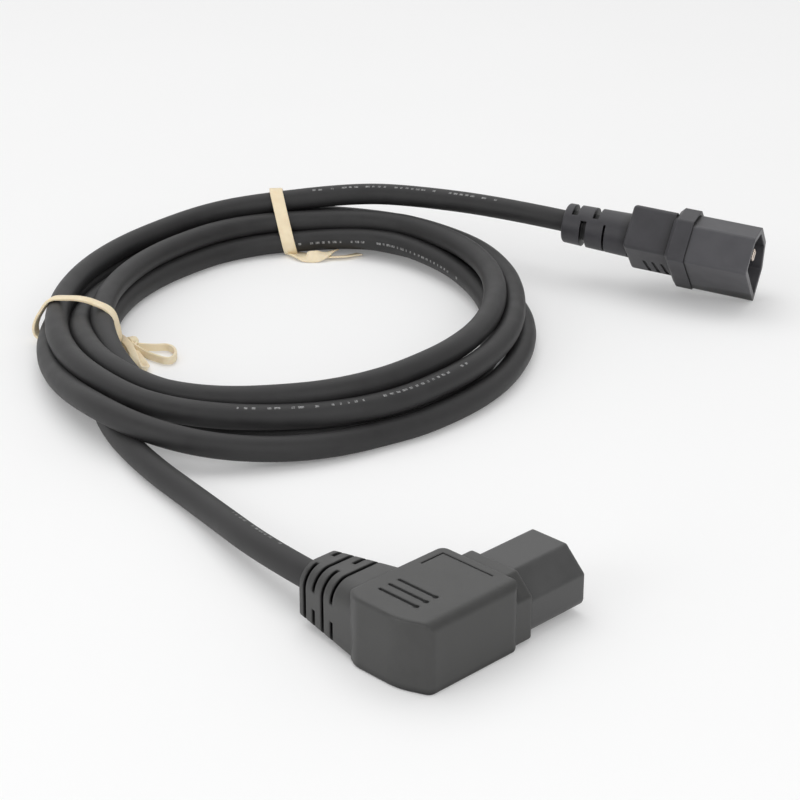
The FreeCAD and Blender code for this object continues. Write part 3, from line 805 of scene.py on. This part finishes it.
@dataclass
class Band:
    """A rubber band round the coil's strands, in an upright plane across them.

    Slack points are in millimetres: out from the oval in the band's plane, and up. A loop row is a
    place x, y, z in millimetres and how far the strip leans over to its right, in degrees. Round each
    strand the band's line is guided by points ring_step degrees apart.
    """

    name: str
    node: str
    angle: float
    yaw: float
    slant: float
    ribbon: Ribbon
    loose: Ribbon
    slack: tuple[Span, ...]
    loops: tuple[tuple[LoopRow, ...], ...]
    clearance: float = 0.4 * MM
    ring_step: float = 12.0
    outline_points: int = 96
    outline_smoothing: int = 3
    strip_steps: int = 10

    def plane(self, cable: Cable) -> tuple[np.ndarray, np.ndarray, np.ndarray]:
        """Finds the band's plane.

        Args:
            cable: the cable that the band ties.

        Returns:
            A point of the plane on the floor, the way out from the coil in it, and the way across it.
        """
        turn = math.radians(self.angle + self.yaw)
        out = np.array((math.cos(turn), math.sin(turn), 0.0))
        side = np.array((-math.sin(turn), math.cos(turn), 0.0))
        return np.array(cable.oval.point(self.angle, 0.0, 0.0)), out, side

    def strands(self, cable: Cable, line: np.ndarray) -> np.ndarray:
        """Finds where the cable crosses the band's plane.

        Args:
            cable: the cable.
            line: points along the cable's middle.

        Returns:
            Outward and height of each strand.
        """
        start, out, side = self.plane(cable)
        offset = (line - start) @ side
        reach = (line - start) @ out
        found = []
        for index in np.nonzero(offset[:-1] * offset[1:] <= 0.0)[0]:
            share = offset[index] / (offset[index] - offset[index + 1])
            place = reach[index] + share * (reach[index + 1] - reach[index])
            if abs(place) < cable.oval.end_radius:
                found.append((place, line[index, 2] + share * (line[index + 1, 2] - line[index, 2])))
        return np.array(found)

    def outline(self, cable: Cable, line: np.ndarray) -> np.ndarray:
        """Draws the band's line round the strands, pulled tight or held off by its slack.

        Args:
            cable: the cable.
            line: points along the cable's middle.

        Returns:
            Outward and height along the closed line.
        """
        reach = 0.5 * (cable.diameter + self.ribbon.thickness) + self.clearance
        turns = np.radians(np.arange(0.0, 360.0, self.ring_step))
        ring = np.stack((np.cos(turns), np.sin(turns)), axis=1) * reach
        cloud = (self.strands(cable, line)[:, None, :] + ring[None]).reshape(-1, 2)
        if self.slack:
            cloud = np.vstack((cloud, np.array(self.slack) * MM))
        cloud[:, 1] = np.maximum(cloud[:, 1], 0.5 * self.ribbon.thickness)
        corners = convex_hull(cloud)
        steps = np.linalg.norm(np.roll(corners, -1, axis=0) - corners, axis=1)
        places = np.concatenate(((0.0,), np.cumsum(steps)))
        closed = np.vstack((corners, corners[:1]))
        even = np.linspace(0.0, places[-1], self.outline_points, endpoint=False)
        loop = np.stack([np.interp(even, places, closed[:, k]) for k in range(2)], axis=1)
        for _ in range(self.outline_smoothing):
            loop = 0.25 * np.roll(loop, 1, axis=0) + 0.5 * loop + 0.25 * np.roll(loop, -1, axis=0)
        return loop

    def wrap(self, mesh: bmesh.types.BMesh, cable: Cable, line: np.ndarray) -> None:
        """Adds the strip that goes round the strands.

        Args:
            mesh: the mesh that grows.
            cable: the cable.
            line: points along the cable's middle.
        """
        start, out, side = self.plane(cable)
        loop = self.outline(cable, line)
        along = np.roll(loop, -1, axis=0) - np.roll(loop, 1, axis=0)
        lean = side * self.slant + UP
        centres = start + loop[:, :1] * out + loop[:, 1:] * lean
        faces = along[:, 1:] * out - along[:, :1] * UP
        self.ribbon.sweep(mesh, centres, faces, True)

    def hang(self, mesh: bmesh.types.BMesh, rows: tuple[LoopRow, ...]) -> None:
        """Adds a loose strip.

        Args:
            mesh: the mesh that grows.
            rows: places and leans along the strip.
        """
        path = smooth_line(np.array(rows, float), self.strip_steps)
        along = np.gradient(path[:, :3], axis=0)
        right = np.cross(along, UP)
        right = right / np.linalg.norm(right, axis=1, keepdims=True)
        lean = np.radians(path[:, 3:])
        centres = path[:, :3] * MM
        upright = self.loose.width * np.abs(np.sin(lean)) + self.loose.thickness * np.abs(np.cos(lean))
        centres[:, 2] = np.maximum(centres[:, 2], 0.5 * upright[:, 0])
        self.loose.sweep(mesh, centres, np.cos(lean) * UP + np.sin(lean) * right, False)

    def build(self, cable: Cable, line: np.ndarray, material: bpy.types.Material) -> bpy.types.Object:
        """Makes the band.

        Args:
            cable: the cable that the band ties.
            line: points along the cable's middle.
            material: the band's finish.

        Returns:
            The band.
        """
        mesh = bmesh.new()
        self.wrap(mesh, cable, line)
        for rows in self.loops:
            self.hang(mesh, rows)
        bmesh.ops.recalc_face_normals(mesh, faces=mesh.faces)
        data = bpy.data.meshes.new(self.name)
        mesh.to_mesh(data)
        mesh.free()
        data.shade_smooth()
        data.materials.append(material)
        band = put(self.name, data)
        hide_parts(self.node)
        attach(band, BODY)
        return band


BACK_FOLD = (
    (-45.6, 146.7, 0.6, -10.0), (-42.7, 142.6, 0.9, -15.0), (-40.4, 140.2, 1.2, 5.0),
    (-37.8, 138.8, 1.7, 55.0), (-35.2, 138.6, 2.2, 60.0), (-32.9, 140.2, 2.4, 20.0),
    (-30.7, 143.8, 2.0, -15.0), (-29.0, 147.5, 1.4, -20.0),
)
BACK_TAIL = (
    (-44.8, 146.4, 0.7, 0.0), (-38.0, 143.6, 0.6, 0.0), (-33.2, 142.2, 0.6, -10.0),
    (-28.9, 141.8, 0.7, -15.0), (-24.2, 142.6, 0.7, -15.0), (-19.5, 145.6, 0.6, -10.0),
)
LONG_LOOP = (
    (-95.2, 53.8, 2.6, 40.0), (-91.6, 50.8, 2.0, 70.0), (-88.4, 50.2, 1.8, 80.0), (-85.0, 50.2, 1.7, 85.0),
    (-81.7, 50.4, 1.7, 88.0), (-79.2, 48.0, 1.7, 90.0), (-78.0, 43.5, 1.7, 90.0), (-78.8, 39.3, 1.7, 92.0),
    (-81.0, 38.8, 1.7, 95.0), (-83.4, 40.4, 1.7, 98.0), (-86.7, 43.1, 1.7, 100.0), (-90.2, 47.0, 1.8, 105.0),
    (-93.6, 51.3, 2.2, 120.0),
)
SHORT_LOOP = (
    (-97.4, 55.6, 3.0, 40.0), (-94.6, 50.4, 3.2, 25.0), (-92.3, 44.5, 2.6, 20.0), (-90.7, 39.0, 2.2, 25.0),
    (-89.2, 34.2, 1.9, 45.0), (-87.6, 31.3, 1.7, 90.0), (-86.4, 32.6, 1.5, 130.0), (-87.4, 36.4, 1.3, 150.0),
    (-89.2, 41.2, 1.2, 160.0), (-91.3, 46.2, 1.2, 165.0), (-93.4, 50.6, 1.4, 165.0),
)
UNDER_STRIP = (
    (-98.6, 55.0, 1.4, 70.0), (-95.8, 51.2, 1.4, 60.0), (-93.6, 47.6, 1.3, 50.0), (-92.2, 43.6, 1.2, 40.0),
)
KNOT = (
    (-93.4, 53.9, 3.6, 0.0), (-92.2, 51.6, 3.4, 20.0), (-92.2, 50.0, 2.0, 80.0), (-93.6, 50.2, 0.8, 150.0),
    (-95.0, 52.4, 0.8, 200.0), (-94.8, 54.2, 2.2, 280.0), (-93.4, 54.0, 3.7, 350.0),
)
LEFT_SLACK = (
    (15.5, 2.4), (15.7, 5.5), (14.3, 8.8), (12.0, 11.8), (8.6, 14.4), (4.7, 16.1), (-1.0, 17.4),
    (-5.0, 17.2), (-8.2, 16.4), (-11.1, 15.0), (-13.2, 13.1), (-14.7, 10.7), (-15.3, 8.0), (-15.8, 4.6),
)
BACK_BAND = Band(
    "tie_back", "back_band", angle=94.8, yaw=0.0, slant=0.23, slack=(), loops=(BACK_FOLD, BACK_TAIL),
    ribbon=Ribbon(4.8 * MM, 0.6 * MM), loose=Ribbon(4.4 * MM, 0.6 * MM),
)
LEFT_BAND = Band(
    "tie_left", "left_band", angle=185.0, yaw=-25.0, slant=0.0, slack=LEFT_SLACK,
    loops=(LONG_LOOP, SHORT_LOOP, UNDER_STRIP, KNOT),
    ribbon=Ribbon(3.4 * MM, 1.0 * MM), loose=Ribbon(2.5 * MM, 1.0 * MM),
)


@dataclass
class PrintedStretch:
    """A stretch of the cable that carries print.

    It starts and ends at a length along the cable in metres. The print faces the cable's right (side 1)
    or left (side -1), lifted from level by an angle in degrees.
    """

    start: float
    end: float
    side: float
    lift: float


@dataclass
class CablePrint:
    """Short dashes of pale ink along the cable, set out by nodes on the cable's own line."""

    dash_length: float = 1.5 * MM
    dash_height: float = 0.85 * MM
    pitch: float = 2.3 * MM
    ink: float = 0.02 * MM
    share: float = 0.78
    seed: int = 7
    dash_grid: tuple[int, int] = (3, 4)
    shortest: Point = (0.35, 1.0, 1.0)
    longest: Point = (1.25, 1.0, 1.0)
    stretches: tuple[PrintedStretch, ...] = (
        PrintedStretch(0.046, 0.126, -1.0, 62.0), PrintedStretch(0.388, 0.470, 1.0, 66.0),
        PrintedStretch(2.128, 2.212, -1.0, 2.0), PrintedStretch(2.490, 2.520, -1.0, 79.0),
    )

    def rails(self, line: np.ndarray) -> bpy.types.Object:
        """Cuts the printed stretches out of the cable's line.

        Args:
            line: points along the cable's middle.

        Returns:
            An object of edges, with the way that the print faces at each point.
        """
        steps = np.linalg.norm(np.diff(line, axis=0), axis=1)
        places = np.concatenate(((0.0,), np.cumsum(steps)))
        points: list[np.ndarray] = []
        edges: list[tuple[int, int]] = []
        facing: list[np.ndarray] = []
        for stretch in self.stretches:
            chosen = line[(places >= stretch.start) & (places <= stretch.end)]
            along = np.gradient(chosen, axis=0)
            lift = math.radians(stretch.lift)
            for index, (point, heading) in enumerate(zip(chosen, along)):
                side = np.array((heading[1], -heading[0], 0.0)) * stretch.side
                side = side / np.linalg.norm(side)
                if index:
                    edges.append((len(points) - 1, len(points)))
                points.append(point)
                facing.append(math.cos(lift) * side + math.sin(lift) * UP)
        mesh = bpy.data.meshes.new("print_rails")
        mesh.from_pydata([tuple(p) for p in points], edges, [])
        attribute = mesh.attributes.new("facing", "FLOAT_VECTOR", "POINT")
        attribute.data.foreach_set("vector", np.array(facing, np.float32).ravel())
        return put("print_rails", mesh)

    def dash(self, graph: Graph, given: bpy.types.bpy_prop_collection) -> Socket:
        """Shapes one dash, bent round the cable.

        Args:
            graph: the tree.
            given: the tree's inputs.

        Returns:
            The dash.
        """
        columns, rows = self.dash_grid
        flat = graph.add("GeometryNodeMeshGrid", {
            "Size X": given["Dash Length"], "Size Y": given["Dash Height"],
            "Vertices X": columns, "Vertices Y": rows,
        })
        spot = graph.add("GeometryNodeInputPosition").outputs["Position"]
        place = graph.add("ShaderNodeSeparateXYZ", {"Vector": spot}).outputs
        turn = graph.calculate("DIVIDE", place["Y"], given["Radius"])
        bent = {"X": place["X"]}
        for function, axis in (("SINE", "Y"), ("COSINE", "Z")):
            wave = graph.calculate(function, turn, 0.0)
            bent[axis] = graph.calculate("MULTIPLY", wave, given["Radius"])
        wrapped = graph.add("ShaderNodeCombineXYZ", bent).outputs["Vector"]
        fed = {"Geometry": flat.outputs["Mesh"], "Position": wrapped}
        return graph.add("GeometryNodeSetPosition", fed).outputs["Geometry"]

    def nodes(self, material: bpy.types.Material) -> bpy.types.NodeTree:
        """Builds the tree that sets the dashes along the rails.

        Args:
            material: the ink.

        Returns:
            The node tree.
        """
        tree = bpy.data.node_groups.new("cable_print", "GeometryNodeTree")
        graph = Graph(tree)
        sockets = [("Geometry", "INPUT", "Geometry")]
        sockets += [(n, "INPUT", "Float") for n in ("Radius", "Dash Length", "Dash Height", "Pitch", "Share")]
        sockets += [("Seed", "INPUT", "Int"), ("Geometry", "OUTPUT", "Geometry")]
        for name, way, kind in sockets:
            tree.interface.new_socket(name, in_out=way, socket_type=f"NodeSocket{kind}")
        given = graph.add("NodeGroupInput").outputs
        curve = graph.add("GeometryNodeMeshToCurve", {"Mesh": given["Geometry"]}).outputs["Curve"]
        spaced = graph.add("GeometryNodeResampleCurve", {
            "Curve": curve, "Length": given["Pitch"],
        }, mode="LENGTH")
        facing = graph.add("GeometryNodeInputNamedAttribute", {"Name": "facing"}, data_type="FLOAT_VECTOR")
        turned = graph.add("FunctionNodeAxesToRotation", {
            "Primary Axis": graph.add("GeometryNodeInputTangent").outputs["Tangent"],
            "Secondary Axis": facing.outputs["Attribute"],
        }, primary_axis="X", secondary_axis="Z")
        kept = graph.add("FunctionNodeRandomValue", {
            "Probability": given["Share"], "Seed": given["Seed"],
        }, data_type="BOOLEAN")
        size = graph.add("FunctionNodeRandomValue", {
            "Min": self.shortest, "Max": self.longest, "Seed": given["Seed"],
        }, data_type="FLOAT_VECTOR")
        dashes = graph.add("GeometryNodeInstanceOnPoints", {
            "Points": spaced.outputs["Curve"], "Instance": self.dash(graph, given),
            "Rotation": turned.outputs["Rotation"], "Selection": kept.outputs[RANDOM_CHOICE],
            "Scale": size.outputs["Value"],
        })
        realized = graph.add("GeometryNodeRealizeInstances", {"Geometry": dashes.outputs["Instances"]})
        inked = graph.add("GeometryNodeSetMaterial", {
            "Geometry": realized.outputs["Geometry"], "Material": material,
        })
        graph.add("NodeGroupOutput", {"Geometry": inked.outputs["Geometry"]})
        return tree

    def build(self, cable: Cable, line: np.ndarray, material: bpy.types.Material) -> bpy.types.Object:
        """Prints the cable.

        Args:
            cable: the cable.
            line: points along the cable's middle.
            material: the ink.

        Returns:
            The dashes as one mesh.
        """
        rails = self.rails(line)
        modifier = rails.modifiers.new("print", "NODES")
        modifier.node_group = self.nodes(material)
        values = {
            "Radius": 0.5 * cable.diameter + self.ink, "Dash Length": self.dash_length,
            "Dash Height": self.dash_height, "Pitch": self.pitch, "Share": self.share, "Seed": self.seed,
        }
        for socket in modifier.node_group.interface.items_tree:
            if socket.name in values:
                modifier[socket.identifier] = values[socket.name]
        mesh = bake(rails)
        mesh.name = "cable_print"
        dashes = put("cable_print", mesh)
        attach(dashes, BODY)
        return dashes


@dataclass(frozen=True)
class Softbox:
    """A soft square lamp: its place, the point it faces, its side in metres and its power in watts."""

    name: str
    place: Point
    target: Point
    size: float
    power: float

    def hang(self) -> None:
        """Hangs the lamp."""
        data = bpy.data.lights.new(self.name, "AREA")
        data.shape = "SQUARE"
        data.size = self.size
        data.energy = self.power
        lamp = put(self.name, data)
        lamp.location = self.place
        lamp.rotation_euler = (Vector(self.target) - Vector(self.place)).to_track_quat("-Z", "Y").to_euler()


@dataclass
class Studio:
    """Floor, soft light and camera."""

    camera_place: Point = (-4.4 * MM, -590.1 * MM, 261.0 * MM)
    camera_dip: float = 23.49
    focal_length: float = 93.9
    sensor: float = 36.0
    nearest_seen: float = 10.0 * MM
    floor_size: float = 6.0
    floor_colour: Colour = (0.93, 0.93, 0.93)
    floor_pale: Colour = (0.94, 0.94, 0.94)
    floor_cloud_scale: float = 6.0
    floor_roughness: float = 0.8
    floor_specular: float = 0.2
    floor_glow: float = 0.15
    sky_light: float = 0.54
    room_front: float = 0.35
    backdrop_span: Span = (-0.2, 0.8)
    lamps: tuple[Softbox, ...] = (
        Softbox("lamp_over", (-0.2, 0.4, 1.4), (0.0, 0.1, 0.0), size=1.6, power=8.3),
        Softbox("lamp_side", (-1.3, -0.9, 0.5), (0.0, -0.1, 0.0), size=1.0, power=6.5),
        Softbox("lamp_front", (0.5, -1.4, 0.8), (0.0, 0.0, 0.0), size=1.4, power=10.5),
    )

    def camera(self) -> None:
        """Sets the camera at the photograph's viewing angle."""
        data = bpy.data.cameras.new("camera")
        data.lens = self.focal_length
        data.sensor_width = self.sensor
        data.clip_start = self.nearest_seen
        camera = put("camera", data)
        camera.location = self.camera_place
        camera.rotation_euler = (math.radians(90.0 - self.camera_dip), 0.0, 0.0)
        bpy.context.scene.camera = camera

    def seen_share(self, graph: Graph) -> Socket:
        """Tells the rays that show the surroundings from those that light the part.

        Args:
            graph: the tree that asks.

        Returns:
            1 for what is looked at, mirrored or seen through, and 0 for light.
        """
        path = graph.add("ShaderNodeLightPath").outputs
        mirrored = graph.calculate("MAXIMUM", path["Is Glossy Ray"], path["Is Transmission Ray"])
        return graph.calculate("MAXIMUM", mirrored, path["Is Camera Ray"])

    def floor(self) -> None:
        """Lays the pale floor: a little paler where it is looked at, with the part's shadow kept."""
        shader = Shader("floor_paper")
        cloud = shader.noise(self.floor_cloud_scale, detail=2.0, rough=0.5)
        colour = shader.mix(shader.spread(cloud, 0.0, 1.0), self.floor_colour, self.floor_pale)
        shader.surface("Base Color", colour)
        shader.surface("Roughness", self.floor_roughness)
        shader.surface("Specular IOR Level", self.floor_specular)
        glow = shader.add("ShaderNodeEmission")
        share = shader.calculate("MULTIPLY", self.seen_share(shader), self.floor_glow)
        mixed = shader.add("ShaderNodeMixShader", {
            "Fac": share, 1: shader.principled.outputs["BSDF"], 2: glow.outputs["Emission"],
        })
        shader.link(mixed.outputs["Shader"], shader.tree.nodes["Material Output"].inputs["Surface"])
        mesh = bmesh.new()
        bmesh.ops.create_grid(mesh, x_segments=2, y_segments=2, size=0.5 * self.floor_size)
        data = bpy.data.meshes.new("floor")
        mesh.to_mesh(data)
        mesh.free()
        data.materials.append(shader.material)
        floor = put("floor", data)

    def world(self) -> None:
        """Fills the surroundings: a white backdrop and a dimmer room in front, softer as light."""
        world = bpy.data.worlds.new("studio")
        bpy.context.scene.world = world
        world.use_nodes = True
        graph = Graph(world.node_tree)
        graph.tree.nodes.clear()
        ray = graph.add("ShaderNodeTexCoord").outputs["Generated"]
        way = graph.add("ShaderNodeSeparateXYZ", {"Vector": ray})
        backdrop = graph.spread(way.outputs["Y"], self.room_front, 1.0, self.backdrop_span,
                                interpolation_type="SMOOTHSTEP")
        strength = graph.spread(self.seen_share(graph), self.sky_light, backdrop, (0.0, 1.0))
        background = graph.add("ShaderNodeBackground", {"Color": (1.0, 1.0, 1.0, 1.0), "Strength": strength})
        graph.add("ShaderNodeOutputWorld", {"Surface": background.outputs["Background"]})

    def build(self) -> None:
        """Sets up the floor, the light and the camera."""
        self.camera()
        self.floor()
        self.world()
        for lamp in self.lamps:
            lamp.hang()
        bpy.context.scene.view_settings.view_transform = "Standard"


def dress_nodes(frame: dict) -> None:
    """Gives the carried-over solids their finishes.
    """
    for finish, names in NODE_FINISHES:
        material = finish.build()
        for name in names:
            data = frame["nodes"][name].data
            data.materials.clear()
            data.materials.append(material)
        LOG.info("finish %s on %d pieces", finish.name, len(names))


def main() -> None:
    """Builds the part piece by piece."""
    logging.basicConfig(level=logging.INFO, format="%(message)s")
    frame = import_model()
    Studio().build()
    cable = Cable()
    laid = cable.build(CABLE_RUBBER.build())
    LOG.info("cable laid, %.2f m", cable.length)
    line = cable.line()
    carried = [CablePrint().build(cable, line, PRINT_INK.build())]
    LOG.info("cable printed")
    band_rubber = BAND_RUBBER.build()
    for band in (BACK_BAND, LEFT_BAND):
        carried.append(band.build(cable, line, band_rubber))
        LOG.info("%s tied", band.name)
    dress_nodes(frame)


if __name__ == "__main__":
    main()
